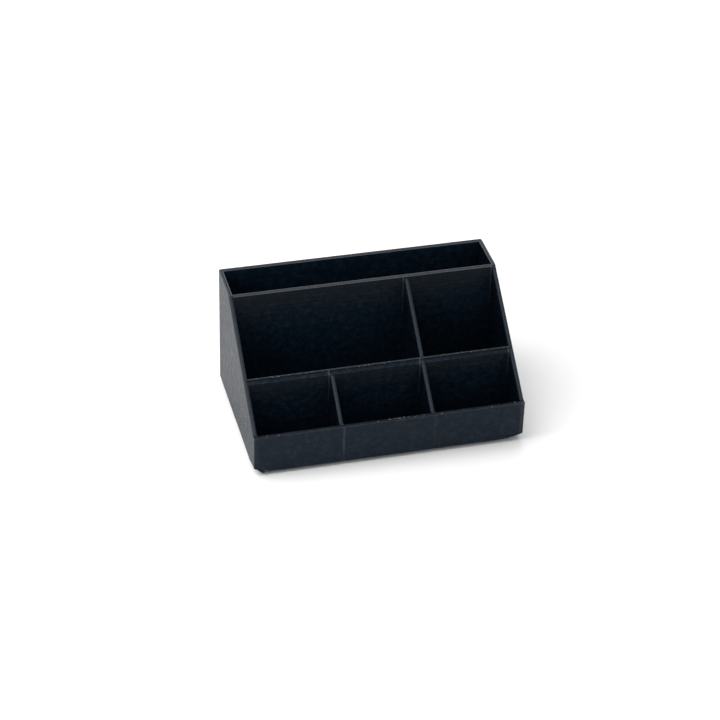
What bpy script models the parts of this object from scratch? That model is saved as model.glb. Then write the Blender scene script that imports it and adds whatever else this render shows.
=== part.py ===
"""Paint rack organizer: a small sloped desk caddy with six open pockets.

Four outer walls stand round a floor: the front and rear walls span the full width and the side walls end
against them. Inside, a full-width slot runs along the back, two pockets lie behind the middle wall and three
in front of it. The side walls, the middle wall and both dividers are trimmed to one slope, which falls from
the slot wall to the low front wall.

Origin: centre of the footprint, on the surface that the caddy stands on. +X is to the right as seen from
the front, +Y to the back and +Z up.
"""

import math

import bmesh
import bpy
from mathutils import Vector

MM = 0.001

# Outside of the whole caddy
WIDTH = 62.0 * MM
DEPTH = 38.0 * MM
HEIGHT = 29.6 * MM
FRONT_HEIGHT = 9.6 * MM

# Wall thicknesses: side walls and dividers run front to back, cross walls run left to right
SIDE_THICKNESS = 1.0 * MM
CROSS_THICKNESS = 1.2 * MM
FLOOR_THICKNESS = 1.2 * MM

# Places of the inner walls, from the outer face of the left wall or of the front wall
SLOT_WALL_FRONT = 26.0 * MM
MIDDLE_WALL_FRONT = 10.2 * MM
LONG_DIVIDER_CENTRE = 40.8 * MM
SHORT_DIVIDER_CENTRE = 19.9 * MM

# The slope starts at the back of the front wall's rim and ends half way over the slot wall's rim
SLOPE_BOTTOM = CROSS_THICKNESS
SLOPE_TOP = SLOT_WALL_FRONT + CROSS_THICKNESS / 2

# The middle wall and the long divider are halved over each other at this height
LAP_HEIGHT = 8.4 * MM

JOINT_GAP = 0.3 * MM
EDGE_RADIUS = 0.15 * MM
EDGE_SEGMENTS = 2
CUTTER_MARGIN = 5.0 * MM

LEFT = -WIDTH / 2
RIGHT = WIDTH / 2
FRONT = -DEPTH / 2
BACK = DEPTH / 2
INNER_LEFT = LEFT + SIDE_THICKNESS
INNER_RIGHT = RIGHT - SIDE_THICKNESS
INNER_FRONT = FRONT + CROSS_THICKNESS
INNER_BACK = BACK - CROSS_THICKNESS
FLOOR_TOP = FLOOR_THICKNESS

BLACK = (0.016, 0.017, 0.019, 1.0)
ROUGHNESS = 0.62


def clear_scene():
    for old in list(bpy.data.objects):
        bpy.data.objects.remove(old, do_unlink=True)


def make_collection(name):
    collection = bpy.data.collections.new(name)
    bpy.context.scene.collection.children.link(collection)
    return collection


def make_material(name):
    """Matt black plastic, one copy for each wall."""
    material = bpy.data.materials.new(name)
    material.use_nodes = True
    shader = material.node_tree.nodes["Principled BSDF"]
    shader.inputs["Base Color"].default_value = BLACK
    shader.inputs["Roughness"].default_value = ROUGHNESS
    shader.inputs["Metallic"].default_value = 0.0
    material.diffuse_color = BLACK
    return material


def make_box(name, low, high, collection):
    """A box between two corners, with its origin at its centre and no scale left on it."""
    size = [b - a for a, b in zip(low, high)]
    mesh = bpy.data.meshes.new(name)
    builder = bmesh.new()
    bmesh.ops.create_cube(builder, size=1.0)
    bmesh.ops.scale(builder, vec=size, verts=builder.verts)
    builder.to_mesh(mesh)
    builder.free()
    box = bpy.data.objects.new(name, mesh)
    box.location = [(a + b) / 2 for a, b in zip(low, high)]
    collection.objects.link(box)
    return box


def make_wall(name, low, high, parts, caddy):
    wall = make_box(name, low, high, parts)
    wall.parent = caddy
    wall.data.materials.append(make_material(name + "_plastic"))
    return wall


def hide_cutter(cutter):
    cutter.hide_render = True
    cutter.display_type = "WIRE"


def make_slope_cutter(cutters):
    """A block whose tilted underside is the slope."""
    rise = HEIGHT - FRONT_HEIGHT
    run = SLOPE_TOP - SLOPE_BOTTOM
    angle = math.atan2(rise, run)
    half_size = Vector((WIDTH, math.hypot(rise, run), HEIGHT)) / 2
    half_size += Vector((CUTTER_MARGIN, CUTTER_MARGIN, 0.0))
    slope_middle = Vector((0.0, FRONT + SLOPE_BOTTOM + run / 2, FRONT_HEIGHT + rise / 2))
    upwards = Vector((0.0, -math.sin(angle), math.cos(angle)))
    cutter = make_box("slope_cutter", -half_size, half_size, cutters)
    cutter.location = slope_middle + upwards * half_size.z
    cutter.rotation_euler.x = angle
    hide_cutter(cutter)
    return cutter


def make_box_cutter(name, low, high, cutters):
    cutter = make_box(name, low, high, cutters)
    hide_cutter(cutter)
    return cutter


def cut(wall, cutter):
    modifier = wall.modifiers.new("cut by " + cutter.name, "BOOLEAN")
    modifier.operation = "DIFFERENCE"
    modifier.solver = "EXACT"
    modifier.object = cutter


def round_edges(wall):
    modifier = wall.modifiers.new("rounded edges", "BEVEL")
    modifier.width = EDGE_RADIUS
    modifier.segments = EDGE_SEGMENTS
    modifier.limit_method = "ANGLE"


def build_floor(parts, caddy):
    """The floor lies between the four outer walls, level with their lower edges."""
    low = (INNER_LEFT + JOINT_GAP, INNER_FRONT + JOINT_GAP, 0.0)
    high = (INNER_RIGHT - JOINT_GAP, INNER_BACK - JOINT_GAP, FLOOR_TOP)
    return make_wall("floor_panel", low, high, parts, caddy)


def build_outer_cross_walls(parts, caddy):
    """The front and rear walls span the full width, so that the side walls end against them."""
    places = {"front_wall": (FRONT, FRONT_HEIGHT), "rear_wall": (INNER_BACK, HEIGHT)}
    return [
        make_wall(name, (LEFT, y, 0.0), (RIGHT, y + CROSS_THICKNESS, top), parts, caddy)
        for name, (y, top) in places.items()
    ]


def build_side_walls(slope, parts, caddy):
    walls = []
    for name, x in (("left_side_wall", LEFT), ("right_side_wall", INNER_RIGHT)):
        low = (x, INNER_FRONT + JOINT_GAP, 0.0)
        high = (x + SIDE_THICKNESS, INNER_BACK - JOINT_GAP, HEIGHT)
        wall = make_wall(name, low, high, parts, caddy)
        cut(wall, slope)
        walls.append(wall)
    return walls


def build_inner_cross_walls(slope, parts, caddy):
    """The slot wall with its flat rim and the lower middle wall with its sloped one stand on the floor."""
    places = {"slot_wall": SLOT_WALL_FRONT, "middle_wall": MIDDLE_WALL_FRONT}
    walls = {}
    for name, distance in places.items():
        y = FRONT + distance
        low = (INNER_LEFT + JOINT_GAP, y, FLOOR_TOP + JOINT_GAP)
        high = (INNER_RIGHT - JOINT_GAP, y + CROSS_THICKNESS, HEIGHT)
        walls[name] = make_wall(name, low, high, parts, caddy)
    cut(walls["middle_wall"], slope)
    return walls


def build_dividers(slope, parts, caddy):
    """Both dividers end a gap short of the walls that they meet, and follow the slope."""
    backs = {
        "long_divider": (LONG_DIVIDER_CENTRE, FRONT + SLOT_WALL_FRONT - JOINT_GAP),
        "short_divider": (SHORT_DIVIDER_CENTRE, FRONT + MIDDLE_WALL_FRONT - JOINT_GAP),
    }
    dividers = {}
    for name, (centre, back) in backs.items():
        x = LEFT + centre
        low = (x - SIDE_THICKNESS / 2, INNER_FRONT + JOINT_GAP, FLOOR_TOP + JOINT_GAP)
        high = (x + SIDE_THICKNESS / 2, back, HEIGHT)
        dividers[name] = make_wall(name, low, high, parts, caddy)
        cut(dividers[name], slope)
    return dividers


def cut_halving_joint(middle_wall, long_divider, cutters):
    """The middle wall is notched from above and the long divider from below, so they slide together."""
    x = LEFT + LONG_DIVIDER_CENTRE
    half_divider = SIDE_THICKNESS / 2 + JOINT_GAP
    wall_front = FRONT + MIDDLE_WALL_FRONT
    wall_back = wall_front + CROSS_THICKNESS
    upper_notch = make_box_cutter(
        "middle_wall_notch",
        (x - half_divider, wall_front - CUTTER_MARGIN, LAP_HEIGHT - JOINT_GAP / 2),
        (x + half_divider, wall_back + CUTTER_MARGIN, HEIGHT),
        cutters,
    )
    lower_notch = make_box_cutter(
        "long_divider_notch",
        (x - half_divider - CUTTER_MARGIN, wall_front - JOINT_GAP, -CUTTER_MARGIN),
        (x + half_divider + CUTTER_MARGIN, wall_back + JOINT_GAP, LAP_HEIGHT + JOINT_GAP / 2),
        cutters,
    )
    cut(middle_wall, upper_notch)
    cut(long_divider, lower_notch)


def main():
    clear_scene()
    parts = make_collection("paint_rack_organizer")
    cutters = make_collection("cutters")
    caddy = bpy.data.objects.new("caddy", None)
    parts.objects.link(caddy)

    slope = make_slope_cutter(cutters)
    walls = [build_floor(parts, caddy)]
    walls += build_outer_cross_walls(parts, caddy)
    walls += build_side_walls(slope, parts, caddy)
    cross_walls = build_inner_cross_walls(slope, parts, caddy)
    dividers = build_dividers(slope, parts, caddy)
    cut_halving_joint(cross_walls["middle_wall"], dividers["long_divider"], cutters)
    for wall in [*walls, *cross_walls.values(), *dividers.values()]:
        round_edges(wall)


main()
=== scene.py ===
"""Looks of the paint rack organizer: a small matt black caddy, printed in level layers of plastic.

Every wall is lofted layer by layer, as the print head lays it down. Each layer bulges a little and the seam
between two layers is a fine groove. A layer of a sloped wall stops a step short of the one below it. Flat
rims show the two or three lines of plastic that make up a wall, and the floor shows its diagonal lines.

A mesh point has four numbers: its place and a value for worn plastic and painted light, which the material
reads. It is 0 on plain plastic, 1 for scuffing and 2 for whitening, and goes down to -1 where shade is
painted.
Painted highlights take the values of scuffing and whitening.
"""

import math

import bmesh
import bpy
import numpy as np
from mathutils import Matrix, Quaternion, Vector


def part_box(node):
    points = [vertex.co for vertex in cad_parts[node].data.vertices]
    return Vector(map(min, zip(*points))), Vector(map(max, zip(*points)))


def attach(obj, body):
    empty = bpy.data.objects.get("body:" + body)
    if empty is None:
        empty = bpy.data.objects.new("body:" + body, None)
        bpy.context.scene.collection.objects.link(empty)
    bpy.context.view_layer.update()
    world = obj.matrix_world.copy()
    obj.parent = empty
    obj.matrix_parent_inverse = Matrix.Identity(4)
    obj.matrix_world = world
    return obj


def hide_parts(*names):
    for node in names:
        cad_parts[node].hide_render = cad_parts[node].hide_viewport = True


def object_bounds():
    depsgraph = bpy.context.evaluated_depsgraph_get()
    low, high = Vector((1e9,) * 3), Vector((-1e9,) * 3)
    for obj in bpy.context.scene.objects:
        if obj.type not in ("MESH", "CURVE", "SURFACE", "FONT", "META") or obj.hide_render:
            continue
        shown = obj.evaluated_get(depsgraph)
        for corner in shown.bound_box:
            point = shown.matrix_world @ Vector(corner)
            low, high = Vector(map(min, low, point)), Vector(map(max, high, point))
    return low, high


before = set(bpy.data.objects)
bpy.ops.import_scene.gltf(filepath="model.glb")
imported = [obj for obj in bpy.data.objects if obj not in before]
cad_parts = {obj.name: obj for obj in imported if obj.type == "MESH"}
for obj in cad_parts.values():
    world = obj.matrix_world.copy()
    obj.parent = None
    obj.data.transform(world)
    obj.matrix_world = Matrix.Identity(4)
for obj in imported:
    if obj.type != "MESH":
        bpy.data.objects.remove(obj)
cad_low, cad_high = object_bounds()

MM = 0.001
BODY = "root"

# How the print is laid down. A layer has three rings, each with its height in the layer and its groove.
# Every face lies a skin behind the CAD's, so that nothing stands out of its box
LAYER = 0.2 * MM
LAYER_RINGS = ((0.1, 0.022 * MM), (0.5, 0.0), (0.9, 0.022 * MM))
SKIN = 0.035 * MM
SHIFT_SPREAD = 0.0045 * MM
STEP_GROOVE = 0.07 * MM
TURN_WEAR_LENGTH = 0.42 * MM
STATION_SPACING = 1.0 * MM
FINE_SPACING = 0.12 * MM
FINE_REACH = 1.0 * MM
SHARP_ANGLE = 50.0

# Slow waves in the faces, each with its length and height, which die out towards a wall's ends
WAVES = ((19.0 * MM, 0.007 * MM), (6.7 * MM, 0.004 * MM), (2.9 * MM, 0.002 * MM))
WAVE_DRIFT = 0.3
WAVE_FADE = 3.0 * MM

# Corners, edges and how far the walls run into each other
CORNER_RADIUS = 0.45 * MM
TURN_RADIUS = 0.47 * MM
ARC_STEPS = 5
FOOT_RADIUS = 0.5 * MM
JOIN_OVERLAP = 0.12 * MM
OUTER_OVERLAP = 0.06 * MM

# Lines of plastic along a flat rim. The slot wall's rim is a little worn
SIDE_BEADS = 2
CROSS_BEADS = 3
COLUMNS_PER_BEAD = 6
RIM_GROOVE = 0.07 * MM
RIM_ROUGHNESS = 0.012 * MM
SLOT_RIM_WEAR = 0.25

# The front wall's rim falls a little to the back, and shade is painted on it there
RIM_SAG = 0.07 * MM
RIM_SHADE = 0.8

# The middle wall's rim has a level strip along its back and ragged steps in front of that
MIDDLE_STRIP = 0.55 * MM
MIDDLE_RIM_WEAR = 1.12
MIDDLE_SPACING = 0.5 * MM
RAGGED = 0.16 * MM
RAGGED_ON_CREST = 0.6
RAG_WEAR = 0.55

# In front of the long and the short divider the front face has a worn ridge between two grooves
WITNESS_SHIFT = 0.33 * MM
WITNESS_RIDGE = 0.01 * MM
WITNESS_GROOVE = 0.08 * MM
WITNESS_WIDTH = 0.21 * MM
WITNESS_WEAR = (0.35, 1.0)
WITNESS_FADE = 4.0 * MM

# Where a divider or the right wall meets a cross wall, a painted highlight, a light line, runs down the
# cross wall
SEAM_SHIFT = 0.22 * MM
SEAM_WIDTH = 0.2 * MM
SEAM_LENGTH = 11.0 * MM
SEAM_HIGHLIGHT = 1.35

# Painted shade: how much darker the inner faces that face left are, and the cross walls' front faces at
# their upper ends
INNER_SHADE = 0.75
UPPER_SHADE = 0.55
UPPER_LENGTH = 9.0 * MM

# A highlight is painted along the front corners, a little way in from their edges
CORNER_HIGHLIGHT_PLACE = 0.75 * MM
CORNER_HIGHLIGHT_WIDTH = 0.3 * MM
CORNER_HIGHLIGHT = (0.25, 0.8)

# The front corners came up from the print bed, the left one steeply and the right one over a longer way
CURL_LIFTS = (1.05 * MM, 1.2 * MM)
CURL_LENGTHS = (5.4 * MM, 5.8 * MM)
CURL_POWERS = (2.0, 1.0)
CURL_HEIGHT = 1.9 * MM

# A flake of the brim is left under the front left corner. Its rags and its narrow ends are shares of its
# depth, and its taper and the stretch where it turns from painted shade to worn plastic are shares of its
# length. The painted shade lies at its end under the corner
FLAKE_START = 0.5 * MM
FLAKE_LENGTH = 4.2 * MM
FLAKE_DEPTH = 0.6 * MM
FLAKE_THICKNESS = 0.14 * MM
FLAKE_RAGS = 0.35
FLAKE_NARROWING = 0.4
FLAKE_ROUGHNESS = 0.05 * MM
FLAKE_BEND = 1.3
FLAKE_TAPER = 0.3
FLAKE_SHADE_TO_WEAR_STRETCH = (0.1, 0.5)
FLAKE_SHADE_AND_WEAR = (-0.7, 1.4)
FLAKE_STATIONS = 36
FLAKE_ROWS = 7

# Lumps on the front rim, by their distance from the left end, and specks on the rough stretches of two rims
LUMPS = (3.0 * MM, 5.6 * MM, 28.0 * MM, 42.6 * MM, 54.3 * MM, 59.7 * MM)
LUMP_SIZE = 0.15 * MM
LUMP_STRETCH = ((0.8, 1.8), (0.7, 1.2), (0.5, 0.8))
LUMP_ROUGHNESS = (0.85, 1.15)
LUMP_MARGINS = (0.35 * MM, 0.2 * MM)
LUMP_WEAR = 1.8
ROUGH_STRETCH = (30.5 * MM, 39.0 * MM)
ROUGH_SPECKS = 24
MIDDLE_SPECKS = 70
MIDDLE_SPECK_SIZES = (0.6, 1.2)
SPECK_SIZE = 0.09 * MM
SPECK_MARGIN = 1.0 * MM

# Diagonal lines on both faces of the floor
FLOOR_BEAD = 0.42 * MM
FLOOR_ROWS_PER_BEAD = 4
FLOOR_GROOVE = 0.05 * MM
FLOOR_CREST_POWER = 0.7
LEAST_FLOOR_GROOVE = 0.4
UNDERSIDE_GROOVE = 0.015 * MM
FLOOR_STATIONS = 14

# Tones of the plastic: two places in a noise's range, and the colours there. The tones of scuffing and
# whitening also give the painted highlights, and the darkest tones are painted shade
BODY_TONES = ((0.25, 0.75), ((0.0025, 0.0078, 0.0153), (0.0040, 0.0106, 0.0199)))
BLOOM_TONES = ((0.42, 0.64), ((0.0016, 0.0058, 0.0120), (0.0105, 0.0185, 0.0285)))
SCUFFED_AND_HIGHLIGHT_TONES = ((0.35, 0.65), ((0.017, 0.024, 0.031), (0.040, 0.049, 0.058)))
WHITENED_AND_HIGHLIGHT_TONES = ((0.35, 0.65), ((0.09, 0.10, 0.11), (0.16, 0.17, 0.18)))
PAINTED_SHADE_TONES = ((0.3, 0.7), ((0.0005, 0.0010, 0.0020), (0.0010, 0.0018, 0.0030)))
DUST_TONES = ((0.0, 1.0), ((0.0, 0.0, 0.0), (0.16, 0.17, 0.18)))

# Shares of one thing in another: two places in a value's range, and the shares there
BLOOM_SHARE = (0.4, 0.65, 0.2, 0.9)
WHITENED_AND_HIGHLIGHT_SHARE = (1.0, 2.0, 0.0, 1.0)
PAINTED_SHADE_SHARE = (-1.0, 0.0, 1.0, 0.0)
DUST_SHARE = (0.76, 0.81, 0.0, 0.3)

# The roughness goes with the patches in the same way, and the shine is the same all over
ROUGHNESS = (0.3, 0.7, 0.23, 0.38)
SPECULAR = 0.115

# Scales of the noises in the plastic, per metre, and how deep its dents and its grain are
STREAK_SCALE = 260.0
STREAK_STRETCH = (0.5, 0.5, 12.0)
PATCH_SCALE = 700.0
GRAIN_SCALE = 5200.0
SPECK_SCALE = 2300.0
DENT_SCALE = 650.0
DENT_DEPTH = 0.042 * MM
GRAIN_DEPTH = 0.02 * MM
GRAIN_STRENGTH = 0.5

# The table, a little below the caddy's foot
TABLE_REACH = 3.0
TABLE_LEVEL = -0.7 * MM
TABLE_TONES = ((0.3, 0.7), ((0.87, 0.87, 0.87), (0.90, 0.90, 0.90)))
TABLE_CLOUD_SCALE = 8.0
TABLE_ROUGHNESS = 0.9
TABLE_SPECULAR = 0.2

# Lights, all aimed at the origin: name, place, size in metres and power in watts
WORLD_STRENGTH = 0.68
LIGHTS = (
    ("window", (-0.4, 0.15, 0.9), 1.0, 6.2),
    ("softbox", (0.25, 0.95, 0.72), 0.65, 4.4),
    ("lamp", (-0.12, -0.02, 0.10), 0.08, 0.08),
)

# Camera, as the caddy is seen from the front left and above
AZIMUTH = -15.471
ELEVATION = 35.246
ROLL = 1.794
DISTANCE = 0.5169
AIM = Vector((-2.52, -0.24, 13.53)) * MM
LENS = 114.587
SENSOR = 36.0
CLIP = (0.01, 20.0)

rng = np.random.default_rng(62)


# ------------------------------------------------------------------ places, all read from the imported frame

def span(node, axis):
    low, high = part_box(node)
    return low[axis], high[axis]


LEFT, FRONT, _ = cad_low
RIGHT, _, TOP = cad_high
FRONT_TOP = span("front_wall", 2)[1]
FLOOR_TOP = span("floor_panel", 2)[1]
FRONT_WALL = span("front_wall", 1)
REAR_WALL = span("rear_wall", 1)
LEFT_WALL = span("left_side_wall", 0)
RIGHT_WALL = span("right_side_wall", 0)
SLOT_WALL = span("slot_wall", 1)
MIDDLE_WALL = span("middle_wall", 1)
LONG_DIVIDER = span("long_divider", 0)
SHORT_DIVIDER = span("short_divider", 0)
WITNESS_PLACES = (sum(LONG_DIVIDER) / 2 + WITNESS_SHIFT, sum(SHORT_DIVIDER) / 2 + WITNESS_SHIFT)

# The slope runs from the back of the front rim to half way over the slot wall's rim
SLOPE_START = FRONT_WALL[1]
SLOPE_END = sum(SLOT_WALL) / 2
SLOPE = (TOP - FRONT_TOP) / (SLOPE_END - SLOPE_START)


def slope_depth(z):
    """The y at which the slope has risen to z."""
    return SLOPE_START + max(z - FRONT_TOP, 0.0) / SLOPE


def slope_height(y):
    """How high the slope is at y."""
    return FRONT_TOP + (y - SLOPE_START) * SLOPE


# The inner walls run into the side walls and start one layer inside the floor
INNER_ENDS = (LEFT_WALL[1] - JOIN_OVERLAP, RIGHT_WALL[0] + JOIN_OVERLAP)
INNER_BOTTOM = FLOOR_TOP - LAYER
MIDDLE_TOP = slope_height(MIDDLE_WALL[1])


# ------------------------------------------------------------------ meshes

def make_piece(node, vertices, quads, ends, material):
    """A smooth mesh that stands for one CAD node. quads is an array, ends a list of other faces."""
    vertices = np.asarray(vertices, np.float32)
    loops = np.concatenate([quads.ravel(), *[np.array(face) for face in ends]]).astype(np.int32)
    sizes = np.concatenate([np.full(len(quads), 4), [len(face) for face in ends]]).astype(np.int32)
    starts = np.concatenate([[0], np.cumsum(sizes)[:-1]]).astype(np.int32)
    name = "printed_" + node
    mesh = bpy.data.meshes.new(name)
    mesh.vertices.add(len(vertices))
    mesh.vertices.foreach_set("co", vertices[:, :3].ravel())
    mesh.loops.add(len(loops))
    mesh.loops.foreach_set("vertex_index", loops)
    mesh.polygons.add(len(starts))
    mesh.polygons.foreach_set("loop_start", starts)
    mesh.update(calc_edges=True)
    mesh.attributes.new("wear_and_painted_light", "FLOAT", "POINT").data.foreach_set("value", vertices[:, 3].copy())
    mesh.validate()
    mesh.shade_smooth()
    mesh.set_sharp_from_angle(angle=math.radians(SHARP_ANGLE))
    mesh.materials.append(material)
    piece = bpy.data.objects.new(name, mesh)
    bpy.context.scene.collection.objects.link(piece)
    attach(piece, BODY)
    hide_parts(node)


def loft(low, high, first_cap, last_cap):
    """Closes a stack of rings into one mesh.

    low and high hold the two faces as (rings, stations, 4): right-handed (along, across, up), and the wear.
    The caps hold the columns between them, (stations, columns, 4), on the first and the last ring.
    """
    rings, count = low.shape[:2]
    around = 2 * count
    body = np.concatenate([low, high[:, ::-1]], 1).reshape(-1, 4)
    here = np.arange(around)
    ring_starts = np.arange(rings - 1)[:, None] * around
    a = ring_starts + here
    b = ring_starts + (here + 1) % around
    quads = [np.stack([a, b, b + around, a + around], -1).reshape(-1, 4)]
    vertices, ends = [body], []
    total = len(body)
    for cap, base, upwards in ((first_cap, 0, False), (last_cap, (rings - 1) * around, True)):
        inner = cap[1:-1]
        columns = inner.shape[1]
        rows = total + np.arange(inner.shape[0] * columns).reshape(inner.shape[:2])
        vertices.append(inner.reshape(-1, 4))
        total += rows.size
        low_row = base + np.arange(count)
        high_row = base + around - 1 - np.arange(count)
        grid = np.concatenate([low_row[1:-1, None], rows, high_row[1:-1, None]], 1)
        flat = np.stack([grid[:-1, :-1], grid[1:, :-1], grid[1:, 1:], grid[:-1, 1:]], -1).reshape(-1, 4)
        quads.append(flat if upwards else flat[:, ::-1])
        first = [low_row[0], *grid[0], high_row[0]]
        last = [low_row[-1], high_row[-1], *grid[-1][::-1]]
        ends += [face if upwards else face[::-1] for face in (first, last)]
    return np.concatenate(vertices), np.concatenate(quads), ends


def join(parts):
    """Several meshes as one."""
    vertices, quads, ends = [], [], []
    total = 0
    for part_vertices, part_quads, part_ends in parts:
        vertices.append(part_vertices)
        quads.append(part_quads + total)
        ends += [[index + total for index in face] for face in part_ends]
        total += len(part_vertices)
    return np.concatenate(vertices), np.concatenate(quads), ends


def lump(centre, size):
    """A worn lump of plastic, about round."""
    builder = bmesh.new()
    bmesh.ops.create_icosphere(builder, subdivisions=2, radius=1.0)
    points = np.array([tuple(vertex.co) for vertex in builder.verts])
    faces = [[vertex.index for vertex in face.verts] for face in builder.faces]
    builder.free()
    stretch = size * np.array([rng.uniform(*limits) for limits in LUMP_STRETCH])
    places = np.array(centre) + points * stretch * rng.uniform(*LUMP_ROUGHNESS, (len(points), 1))
    return np.column_stack([places, np.full(len(points), LUMP_WEAR)]), np.zeros((0, 4), int), faces


# ------------------------------------------------------------------ shapes that several pieces share

def corner_lift(x, y):
    """How far the bottom of the print has come up from the bed."""
    lift = np.zeros(np.shape(x))
    for corner, height, length, power in zip((LEFT, RIGHT), CURL_LIFTS, CURL_LENGTHS, CURL_POWERS):
        distance = np.hypot(x - corner, y - FRONT)
        lift += height * np.clip(1 - (distance / length) ** power, 0, 1) ** 2
    return lift


def curl(vertices):
    """Lifts what is close to a front corner, less and less from the bed upwards."""
    lift = corner_lift(vertices[:, 0], vertices[:, 1])
    vertices[:, 2] += lift * np.exp(-vertices[:, 2] / CURL_HEIGHT)
    return vertices


def rounding(distance, radius):
    """How far a round edge pulls a face in, at a distance from the edge."""
    gap = np.clip(radius - distance, 0.0, radius)
    return radius - np.sqrt(radius**2 - gap**2)


def bell(places, centre, width):
    """A smooth bump of height 1."""
    return np.exp(-(((places - centre) / width) ** 2))


def near_top(z, top, length):
    """1 at the top, falling to 0 a length below it."""
    return float(np.clip(1 - (top - z) / length, 0, 1))


# ------------------------------------------------------------------ walls

LAYERS = round(TOP / LAYER)
# The outside is one closed line in each layer, so all four outer walls share its small errors
OUTER_SHIFT = np.clip(rng.normal(0.0, SHIFT_SPREAD, LAYERS), -2 * SHIFT_SPREAD, 2 * SHIFT_SPREAD)


class Surface:
    """How far one face of a wall lies behind its true plane: layer by layer and in slow waves."""

    def __init__(self, outer):
        self.shift = OUTER_SHIFT if outer else rng.permutation(OUTER_SHIFT)
        self.phases = [np.cumsum(rng.normal(0.0, WAVE_DRIFT, LAYERS)) + rng.uniform(0, 2 * math.pi)
                       for _ in WAVES]

    def inset(self, layer, places, fade):
        waves = sum(height * np.sin(2 * math.pi * places / length + phase[layer])
                    for (length, height), phase in zip(WAVES, self.phases))
        return SKIN + self.shift[layer] + waves * fade


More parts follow.
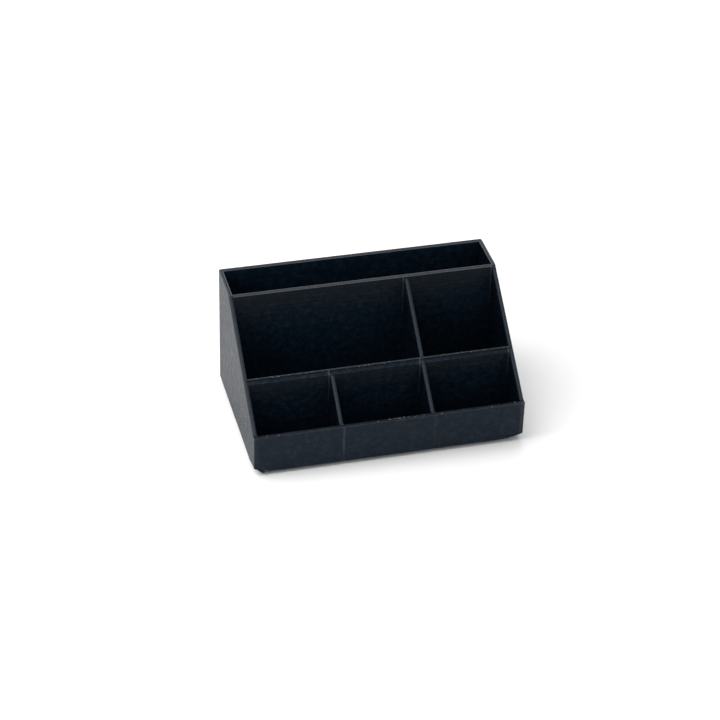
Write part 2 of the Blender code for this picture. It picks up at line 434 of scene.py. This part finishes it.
class Wall:
    """A straight wall. along is 0 if it runs along X and 1 along Y.

    ends(z)             where it starts and stops
    faces(z)            its low and its high face
    beads               how many lines of plastic its rim has
    outer_face          index of the face on the outside of the caddy
    outer_ends          whether both ends are on the outside as well
    turned(z)           whether the lines turn back at its start
    relief(places)      how far the outer face stands out
    scuffs(places, z)   how worn the low face is, and how much highlight is painted on it
    shade(z)            how much shade is painted on the low face
    fine                places with close stations around them
    spacing             how far apart the other stations are
    ragged              how ragged the edges of its steps are
    rim_wear, rim_shade how worn the rim is, and how much shade is painted on it towards the high face
    sag                 how much lower the rim is at the high face
    """

    def __init__(self, along, ends, faces, bottom, top, beads, outer_face=None, outer_ends=False,
                 turned=lambda z: False, relief=lambda places: 0.0, scuffs_and_highlights=lambda places, z: 0.0,
                 shade=lambda z: 0.0, fine=(), spacing=STATION_SPACING, ragged=0.0, rim_wear=0.0,
                 rim_shade=0.0, sag=0.0):
        self.along, self.ends, self.faces = along, ends, faces
        self.bottom, self.top, self.beads = bottom, top, beads
        self.outer_face, self.outer_ends, self.turned = outer_face, outer_ends, turned
        self.relief, self.scuffs_and_highlights, self.shade = relief, scuffs_and_highlights, shade
        self.ragged, self.rim_wear, self.rim_shade, self.sag = ragged, rim_wear, rim_shade, sag
        self.end_radius = CORNER_RADIUS if outer_ends else TURN_RADIUS
        self.shares = self.body_shares(fine, spacing)

    def body_shares(self, fine, spacing):
        """Where the stations between the two ends stand, as shares of the wall's length."""
        start, stop = self.ends(self.bottom)
        start, stop = start + self.end_radius, stop - self.end_radius
        places = [np.linspace(start, stop, round((stop - start) / spacing) + 1)]
        for centre in fine:
            places.append(np.arange(centre - FINE_REACH, centre + FINE_REACH, FINE_SPACING))
        merged = np.unique(np.concatenate(places))
        merged = merged[(merged > start + FINE_SPACING / 2) & (merged < stop - FINE_SPACING / 2)]
        merged = merged[np.concatenate([[True], np.diff(merged) > FINE_SPACING / 2])]
        return (merged - start) / (stop - start)

    def stations(self, start, stop):
        """All stations of a ring: an arc at each end and the body between them."""
        arc = self.end_radius * (1 - np.cos(np.linspace(0, math.pi / 2, ARC_STEPS)))
        first, last = start + self.end_radius, stop - self.end_radius
        return np.concatenate([start + arc, first + (last - first) * self.shares, stop - arc[::-1]])

    def outer_inset(self, places, start, stop, z):
        """What an outer face has more than the others: its foot, its relief and its corners."""
        inset = rounding(z, FOOT_RADIUS) - self.relief(places)
        if self.outer_ends:
            inset = inset + rounding(places - start, CORNER_RADIUS) + rounding(stop - places, CORNER_RADIUS)
        return inset

    def ring(self, layer, height, groove, surfaces, rags):
        """The low and the high row of points of one ring."""
        z = (layer + height) * LAYER
        middle = (layer + 0.5) * LAYER
        start, stop = self.ends(middle)
        if self.outer_ends:
            outside = groove + rounding(z, FOOT_RADIUS) + SKIN + OUTER_SHIFT[layer]
            start, stop = start + outside, stop - outside
        turned = self.turned(middle)
        step_inset = STEP_GROOVE if groove else 0.0
        if turned:
            start += step_inset
        places = self.stations(start, stop)
        fade = np.clip(np.minimum(places - start, stop - places) / WAVE_FADE, 0, 1)
        rows = []
        for side, face in enumerate(self.faces(middle)):
            inset = groove + surfaces[side].inset(layer, places, fade)
            wear_and_painted_light = np.zeros(len(places))
            if side == self.outer_face:
                inset = inset + self.outer_inset(places, start, stop, z)
            if turned:
                inset = inset + rounding(places - start, TURN_RADIUS)
                wear_and_painted_light = wear_and_painted_light + np.exp((start - places) / TURN_WEAR_LENGTH)
            if side == 0:
                # worn plastic and painted highlights on the low face
                wear_and_painted_light = wear_and_painted_light + self.scuffs_and_highlights(places, z)
            if side == 0 and face > self.faces(self.bottom)[0]:
                # A step of the slope: the face stands further back here than it does at the bottom
                inset = inset + step_inset + self.ragged * rags * (1 if groove else RAGGED_ON_CREST)
                wear_and_painted_light = wear_and_painted_light + RAG_WEAR * rags
            elif side == 0:
                # painted shade on the low face
                wear_and_painted_light = wear_and_painted_light - self.shade(z) * np.clip(1 - wear_and_painted_light, 0, 1)
            across = face + inset if side == 0 else face - inset
            rows.append(np.stack([places, across, np.full(len(places), z), wear_and_painted_light], -1))
        return rows

    def rim(self, low, high, level, groove):
        """The columns across the wall's first or last ring. The last one has a round back for each bead."""
        columns = self.beads * COLUMNS_PER_BEAD
        share = np.arange(1, columns) / columns
        points = low[:, None] + (high - low)[:, None] * share[None, :, None]
        across = np.repeat(share[None, :], len(low), 0)
        if self.outer_ends:
            across = self.around_corner(points, across)
        crest = np.abs(np.sin(math.pi * self.beads * across))
        roughness = np.abs(rng.normal(0.0, RIM_ROUGHNESS, (len(low), 1)))
        points[:, :, 2] = level
        if groove:
            points[:, :, 2] -= groove * (1 - crest) ** 2 + roughness + self.sag * share**2
        # worn plastic, with shade painted towards the high face
        points[:, :, 3] = self.rim_wear - self.rim_shade * share
        return points

    def around_corner(self, points, across):
        """Lines on the rim of a front or rear wall turn round the corner into the side walls."""
        depth = across if self.outer_face == 0 else 1 - across
        side_thickness = LEFT_WALL[1] - LEFT_WALL[0]
        from_end = np.minimum(points[:, :, 0] - LEFT, RIGHT - points[:, :, 0]) / side_thickness
        in_side_wall = (from_end < 1) & (from_end < depth)
        return np.where(in_side_wall, from_end * SIDE_BEADS / CROSS_BEADS, depth)

    def build(self):
        surfaces = [Surface(side == self.outer_face) for side in (0, 1)]
        rags = rng.random((LAYERS, len(self.shares) + 2 * ARC_STEPS)) ** 2
        layers = range(round(self.bottom / LAYER), round(self.top / LAYER))
        rings = [self.ring(layer, height, groove, surfaces, rags[layer])
                 for layer in layers for height, groove in LAYER_RINGS]
        low = np.array([rows[0] for rows in rings])
        high = np.array([rows[1] for rows in rings])
        high[-1, :, 2] -= self.sag
        bottom_cap = self.rim(low[0], high[0], self.bottom, 0.0)
        top_cap = self.rim(low[-1], high[-1], self.top, RIM_GROOVE)
        vertices, quads, ends = loft(low, high, bottom_cap, top_cap)
        if self.along == 1:
            vertices = vertices[:, [1, 0, 2, 3]]
            quads = quads[:, ::-1]
            ends = [face[::-1] for face in ends]
        return curl(vertices), quads, ends


# ------------------------------------------------------------------ marks on the walls

def witness_lines(places):
    """How far the front face stands out: a ridge between two grooves in front of each divider."""
    height = np.zeros(len(places))
    for centre in WITNESS_PLACES:
        height += WITNESS_RIDGE * bell(places, centre, WITNESS_WIDTH)
        for groove in (centre - 2 * WITNESS_WIDTH, centre + 2 * WITNESS_WIDTH):
            height -= WITNESS_GROOVE * bell(places, groove, WITNESS_WIDTH)
    return height


def front_wear_and_highlights(places, z):
    """Wear of the witness lines, weaker close to the bed, and a painted highlight next to both corners."""
    wear_and_painted_light = np.zeros(len(places))
    for centre, strength in zip(WITNESS_PLACES, WITNESS_WEAR):
        wear_and_painted_light += strength * min(z / WITNESS_FADE, 1.0) * bell(places, centre, WITNESS_WIDTH)
    for centre, strength in zip((LEFT + CORNER_HIGHLIGHT_PLACE, RIGHT - CORNER_HIGHLIGHT_PLACE), CORNER_HIGHLIGHT):
        wear_and_painted_light += strength * bell(places, centre, CORNER_HIGHLIGHT_WIDTH)
    return wear_and_painted_light


def seam_highlights(corners, top):
    """Painted highlights: light lines down a cross wall's front face, from its top and just left of where a
    wall meets it.
    """
    def scuffs_and_highlights(places, z):
        strength = SEAM_HIGHLIGHT * near_top(z, top, SEAM_LENGTH)
        return sum(strength * bell(places, x - SEAM_SHIFT, SEAM_WIDTH) for x in corners)
    return scuffs_and_highlights


def upper_shade(top):
    """Painted shade: a cross wall's front face is darker close to its rim."""
    return lambda z: UPPER_SHADE * near_top(z, top, UPPER_LENGTH)


def inner_shade(z):
    """Painted shade: the inner faces that face left are darker at every height."""
    return INNER_SHADE


def brim_flake():
    """A thin ragged sheet that hangs from the lifted corner and stayed on the bed with its front edge."""
    share = np.linspace(0, 1, FLAKE_STATIONS)
    row = np.linspace(0, 1, FLAKE_ROWS)[:, None]
    x = np.broadcast_to(LEFT + FLAKE_START + FLAKE_LENGTH * share, (FLAKE_ROWS, FLAKE_STATIONS))
    rags = FLAKE_RAGS * FLAKE_DEPTH * rng.random(FLAKE_STATIONS) * (1 - row)
    narrowing = FLAKE_NARROWING * FLAKE_DEPTH * (1 - np.sin(math.pi * share)) * (1 - row)
    y = FRONT + SKIN + rags + narrowing + FLAKE_DEPTH * row
    hang = np.clip(share / FLAKE_TAPER, 0, 1) * (1 - row**FLAKE_BEND)
    rise = corner_lift(x, FRONT) * (1 - hang)
    top = FLAKE_THICKNESS + rise + FLAKE_ROUGHNESS * rng.random((FLAKE_ROWS, FLAKE_STATIONS))
    under = np.maximum(top - FLAKE_THICKNESS, 0.0)
    # painted shade at the end under the corner, worn plastic further along
    wear_and_painted_light = np.broadcast_to(np.interp(share, FLAKE_SHADE_TO_WEAR_STRETCH, FLAKE_SHADE_AND_WEAR), x.shape)
    empty = np.zeros((FLAKE_STATIONS, 0, 4))
    return loft(np.stack([x, y, under, wear_and_painted_light], -1), np.stack([x, y, top, wear_and_painted_light], -1), empty, empty)


def front_lumps():
    """Lumps at their places on the front rim, and specks along its rough stretch."""
    nearest, farthest = FRONT + LUMP_MARGINS[0], SLOPE_START - LUMP_MARGINS[1]
    lumps = [(along, LUMP_SIZE) for along in LUMPS]
    lumps += [(along, SPECK_SIZE) for along in rng.uniform(*ROUGH_STRETCH, ROUGH_SPECKS)]
    return [lump((LEFT + along, rng.uniform(nearest, farthest), FRONT_TOP), size)
            for along, size in lumps]


def middle_specks():
    """Specks on the level strip along the back of the middle wall's rim."""
    back = MIDDLE_WALL[1] - SKIN - SPECK_SIZE
    return [lump((x, rng.uniform(back - MIDDLE_STRIP, back), MIDDLE_TOP),
                 SPECK_SIZE * rng.uniform(*MIDDLE_SPECK_SIZES))
            for x in rng.uniform(LEFT_WALL[1] + SPECK_MARGIN, RIGHT_WALL[0] - SPECK_MARGIN, MIDDLE_SPECKS)]


# ------------------------------------------------------------------ the eight walls

def fixed(low, high):
    """The same two places at every height."""
    return lambda z: (low, high)


def on_slope(z):
    return z > FRONT_TOP


def side_ends(z):
    """A side wall runs into the front wall, further up follows the slope, and ends in the rear wall."""
    return slope_depth(z) - (0.0 if on_slope(z) else OUTER_OVERLAP), REAR_WALL[0] + OUTER_OVERLAP


def divider_ends(back):
    """The same for a divider that ends in the cross wall at back."""
    return lambda z: (slope_depth(z) - (0.0 if on_slope(z) else JOIN_OVERLAP), back + JOIN_OVERLAP)


def middle_faces(z):
    """The middle wall's front face follows the slope as far as the strip along its back."""
    front = min(slope_depth(z), MIDDLE_WALL[1] - MIDDLE_STRIP)
    return max(MIDDLE_WALL[0], front), MIDDLE_WALL[1]


def outer_walls():
    corners = (LEFT + FINE_REACH / 2, RIGHT - FINE_REACH / 2)
    across = {"ends": fixed(LEFT, RIGHT), "beads": CROSS_BEADS, "outer_ends": True}
    sides = {"ends": side_ends, "bottom": 0.0, "top": TOP, "beads": SIDE_BEADS, "turned": on_slope}
    return {
        "front_wall": Wall(0, faces=fixed(*FRONT_WALL), bottom=0.0, top=FRONT_TOP, outer_face=0, **across,
                           relief=witness_lines, scuffs_and_highlights=front_wear_and_highlights, fine=(*corners, *WITNESS_PLACES),
                           rim_shade=RIM_SHADE, sag=RIM_SAG),
        "rear_wall": Wall(0, faces=fixed(*REAR_WALL), bottom=0.0, top=TOP, outer_face=1, **across,
                          fine=corners),
        "left_side_wall": Wall(1, faces=fixed(*LEFT_WALL), outer_face=0, **sides),
        "right_side_wall": Wall(1, faces=fixed(*RIGHT_WALL), outer_face=1, shade=inner_shade, **sides),
    }


def cross_walls():
    common = {"ends": fixed(*INNER_ENDS), "bottom": INNER_BOTTOM, "beads": CROSS_BEADS,
              "fine": (LONG_DIVIDER[0], SHORT_DIVIDER[0], RIGHT_WALL[0] - FINE_REACH)}
    slot_seams = seam_highlights((LONG_DIVIDER[0], RIGHT_WALL[0]), TOP)
    middle_seams = seam_highlights((LONG_DIVIDER[0], SHORT_DIVIDER[0], RIGHT_WALL[0]), MIDDLE_TOP)
    return {
        "slot_wall": Wall(0, faces=fixed(*SLOT_WALL), top=TOP, scuffs_and_highlights=slot_seams, shade=upper_shade(TOP),
                          rim_wear=SLOT_RIM_WEAR, **common),
        "middle_wall": Wall(0, faces=middle_faces, top=MIDDLE_TOP, scuffs_and_highlights=middle_seams,
                            shade=upper_shade(MIDDLE_TOP), rim_wear=MIDDLE_RIM_WEAR, ragged=RAGGED,
                            spacing=MIDDLE_SPACING, **common),
    }


def dividers():
    """Each ends in the cross wall behind it and is as high as the slope is there."""
    places = {
        "long_divider": (LONG_DIVIDER, SLOT_WALL[0]),
        "short_divider": (SHORT_DIVIDER, MIDDLE_WALL[0]),
    }
    return {
        node: Wall(1, divider_ends(back), fixed(*faces), INNER_BOTTOM, slope_height(back), SIDE_BEADS,
                   turned=on_slope, shade=inner_shade)
        for node, (faces, back) in places.items()
    }


def build_walls(material):
    extras = {"front_wall": [brim_flake(), *front_lumps()], "middle_wall": middle_specks()}
    for node, wall in {**outer_walls(), **cross_walls(), **dividers()}.items():
        make_piece(node, *join([wall.build(), *extras.get(node, [])]), material)


# ------------------------------------------------------------------ floor

def build_floor(material):
    """The floor, lofted from corner to corner so that its diagonal lines are real ridges."""
    low_x, high_x = INNER_ENDS
    low_y, high_y = FRONT_WALL[1] - JOIN_OVERLAP, REAR_WALL[0] + JOIN_OVERLAP
    half_turn = math.sqrt(0.5)
    first = (low_x + low_y) * half_turn
    last = (high_x + high_y) * half_turn
    count = round((last - first) / FLOOR_BEAD * FLOOR_ROWS_PER_BEAD)
    steps = np.linspace(first, last, count + 2)[1:-1]
    # Along each diagonal x + y stays the same, and the line ends where it leaves the rectangle
    total = steps / half_turn
    start_x = np.minimum(high_x, total - low_y)
    stop_x = np.maximum(low_x, total - high_y)
    share = np.linspace(0, 1, FLOOR_STATIONS)
    x = start_x[:, None] + (stop_x - start_x)[:, None] * share
    y = total[:, None] - x
    bead = (steps - first) / FLOOR_BEAD
    crest = np.abs(np.sin(math.pi * bead)) ** FLOOR_CREST_POWER
    beads = math.ceil(bead[-1]) + 1
    flow = LEAST_FLOOR_GROOVE + (1 - LEAST_FLOOR_GROOVE) * rng.random((beads, FLOOR_STATIONS))
    depth = (1 - crest)[:, None] * flow[bead.astype(int)]
    unworn = np.zeros(x.shape)
    top = np.stack([x, y, FLOOR_TOP - FLOOR_GROOVE * depth, unworn], -1)
    underside = np.stack([x, y, UNDERSIDE_GROOVE * depth, unworn], -1)
    empty = np.zeros((FLOOR_STATIONS, 0, 4))
    vertices, quads, ends = loft(underside, top, empty, empty)
    make_piece("floor_panel", curl(vertices), quads, ends, material)


# ------------------------------------------------------------------ material

def add_node(tree, kind, **settings):
    node = tree.nodes.new(kind)
    for name, value in settings.items():
        if name in node.inputs:
            node.inputs[name].default_value = value
        else:
            setattr(node, name, value)
    return node


def noise(tree, coordinates, scale, detail=3.0, roughness=0.6, stretch=(1, 1, 1)):
    mapping = add_node(tree, "ShaderNodeMapping")
    mapping.inputs["Scale"].default_value = stretch
    tree.links.new(coordinates, mapping.inputs["Vector"])
    texture = add_node(tree, "ShaderNodeTexNoise", Scale=scale, Detail=detail, Roughness=roughness)
    tree.links.new(mapping.outputs["Vector"], texture.inputs["Vector"])
    return texture.outputs["Fac"]


def tones(tree, value, places, colours):
    """Runs from one colour to the other between two places in the value's range."""
    node = add_node(tree, "ShaderNodeValToRGB")
    for element, place, colour in zip(node.color_ramp.elements, places, colours):
        element.position = place
        element.color = (*colour, 1)
    tree.links.new(value, node.inputs["Fac"])
    return node.outputs["Color"]


def map_range(tree, value, low, high, to_low, to_high):
    node = add_node(tree, "ShaderNodeMapRange")
    for name, number in zip(("From Min", "From Max", "To Min", "To Max"), (low, high, to_low, to_high)):
        node.inputs[name].default_value = number
    tree.links.new(value, node.inputs["Value"])
    return node.outputs["Result"]


def mix_colour(tree, factor, first, second):
    node = add_node(tree, "ShaderNodeMix", data_type="RGBA")
    tree.links.new(factor, node.inputs["Factor"])
    # A mix node has a socket A, B and Result for every kind of data: these are the ones for colours
    tree.links.new(first, node.inputs[6])
    tree.links.new(second, node.inputs[7])
    return node.outputs[2]


def plastic_colour(tree, position, patches, grain):
    """Streaked layer by layer, in patches, worn and with painted highlights and painted shade as the mesh
    says, and slightly dusty.
    """
    streaks = noise(tree, position, STREAK_SCALE, stretch=STREAK_STRETCH)
    specks = noise(tree, position, SPECK_SCALE, detail=1.0, roughness=0.4)
    wear_and_painted_light = add_node(tree, "ShaderNodeAttribute", attribute_name="wear_and_painted_light").outputs["Fac"]
    body = tones(tree, streaks, *BODY_TONES)
    bloom = tones(tree, patches, *BLOOM_TONES)
    mottled = mix_colour(tree, map_range(tree, patches, *BLOOM_SHARE), body, bloom)
    scuffed_and_highlit = mix_colour(tree, wear_and_painted_light, mottled, tones(tree, grain, *SCUFFED_AND_HIGHLIGHT_TONES))
    whitened_and_highlit = tones(tree, grain, *WHITENED_AND_HIGHLIGHT_TONES)
    # worn plastic together with painted highlights
    worn = mix_colour(tree, map_range(tree, wear_and_painted_light, *WHITENED_AND_HIGHLIGHT_SHARE), scuffed_and_highlit, whitened_and_highlit)
    dust = tones(tree, specks, *DUST_TONES)
    dusty = mix_colour(tree, map_range(tree, specks, *DUST_SHARE), worn, dust)
    # painted shade
    painted_shade_colour = tones(tree, patches, *PAINTED_SHADE_TONES)
    return mix_colour(tree, map_range(tree, wear_and_painted_light, *PAINTED_SHADE_SHARE), dusty, painted_shade_colour)


def make_plastic():
    """Matt black plastic with a cold cast, slightly dented and grained."""
    material = bpy.data.materials.new("black_print_plastic")
    material.use_nodes = True
    tree = material.node_tree
    shader = tree.nodes["Principled BSDF"]
    position = add_node(tree, "ShaderNodeTexCoord").outputs["Object"]
    patches = noise(tree, position, PATCH_SCALE, detail=4.0, roughness=0.75)
    grain = noise(tree, position, GRAIN_SCALE, detail=2.0)
    tree.links.new(plastic_colour(tree, position, patches, grain), shader.inputs["Base Color"])
    tree.links.new(map_range(tree, patches, *ROUGHNESS), shader.inputs["Roughness"])
    shader.inputs["Specular IOR Level"].default_value = SPECULAR
    dents = add_node(tree, "ShaderNodeBump", Strength=1.0, Distance=DENT_DEPTH)
    tree.links.new(noise(tree, position, DENT_SCALE, detail=2.0, roughness=0.5), dents.inputs["Height"])
    bump = add_node(tree, "ShaderNodeBump", Strength=GRAIN_STRENGTH, Distance=GRAIN_DEPTH)
    tree.links.new(grain, bump.inputs["Height"])
    tree.links.new(dents.outputs["Normal"], bump.inputs["Normal"])
    tree.links.new(bump.outputs["Normal"], shader.inputs["Normal"])
    return material


# ------------------------------------------------------------------ table, light and camera

def make_pale_table():
    material = bpy.data.materials.new("pale_table")
    material.use_nodes = True
    tree = material.node_tree
    shader = tree.nodes["Principled BSDF"]
    position = add_node(tree, "ShaderNodeTexCoord").outputs["Object"]
    cloud = noise(tree, position, TABLE_CLOUD_SCALE)
    tree.links.new(tones(tree, cloud, *TABLE_TONES), shader.inputs["Base Color"])
    shader.inputs["Roughness"].default_value = TABLE_ROUGHNESS
    shader.inputs["Specular IOR Level"].default_value = TABLE_SPECULAR
    return material


def make_table_top():
    mesh = bpy.data.meshes.new("table_top")
    corners = [(x * TABLE_REACH, y * TABLE_REACH, TABLE_LEVEL)
               for x, y in ((-1, -1), (1, -1), (1, 1), (-1, 1))]
    mesh.from_pydata(corners, [], [(0, 1, 2, 3)])
    mesh.materials.append(make_pale_table())
    table = bpy.data.objects.new("table_top", mesh)
    bpy.context.scene.collection.objects.link(table)


def make_world():
    world = bpy.data.worlds.new("studio")
    bpy.context.scene.world = world
    world.use_nodes = True
    background = world.node_tree.nodes["Background"]
    background.inputs["Color"].default_value = (1.0, 1.0, 1.0, 1)
    background.inputs["Strength"].default_value = WORLD_STRENGTH


def make_light(name, place, size, power):
    data = bpy.data.lights.new(name, "AREA")
    data.shape = "DISK"
    data.size = size
    data.energy = power
    light = bpy.data.objects.new(name, data)
    light.location = place
    light.rotation_mode = "QUATERNION"
    light.rotation_quaternion = (-Vector(place)).to_track_quat("-Z", "Y")
    bpy.context.scene.collection.objects.link(light)


def make_camera():
    data = bpy.data.cameras.new("camera")
    data.lens = LENS
    data.sensor_width = SENSOR
    data.clip_start, data.clip_end = CLIP
    camera = bpy.data.objects.new("camera", data)
    azimuth, elevation = math.radians(AZIMUTH), math.radians(ELEVATION)
    back = Vector((math.sin(azimuth) * math.cos(elevation), -math.cos(azimuth) * math.cos(elevation),
                   math.sin(elevation)))
    camera.location = AIM + back * DISTANCE
    camera.rotation_mode = "QUATERNION"
    level = (-back).to_track_quat("-Z", "Y")
    camera.rotation_quaternion = level @ Quaternion((0, 0, 1), math.radians(ROLL))
    bpy.context.scene.collection.objects.link(camera)
    bpy.context.scene.camera = camera


def make_studio():
    make_world()
    for light in LIGHTS:
        make_light(*light)
    make_table_top()
    make_camera()
    bpy.context.scene.view_settings.view_transform = "Standard"


plastic = make_plastic()
build_walls(plastic)
build_floor(plastic)
make_studio()
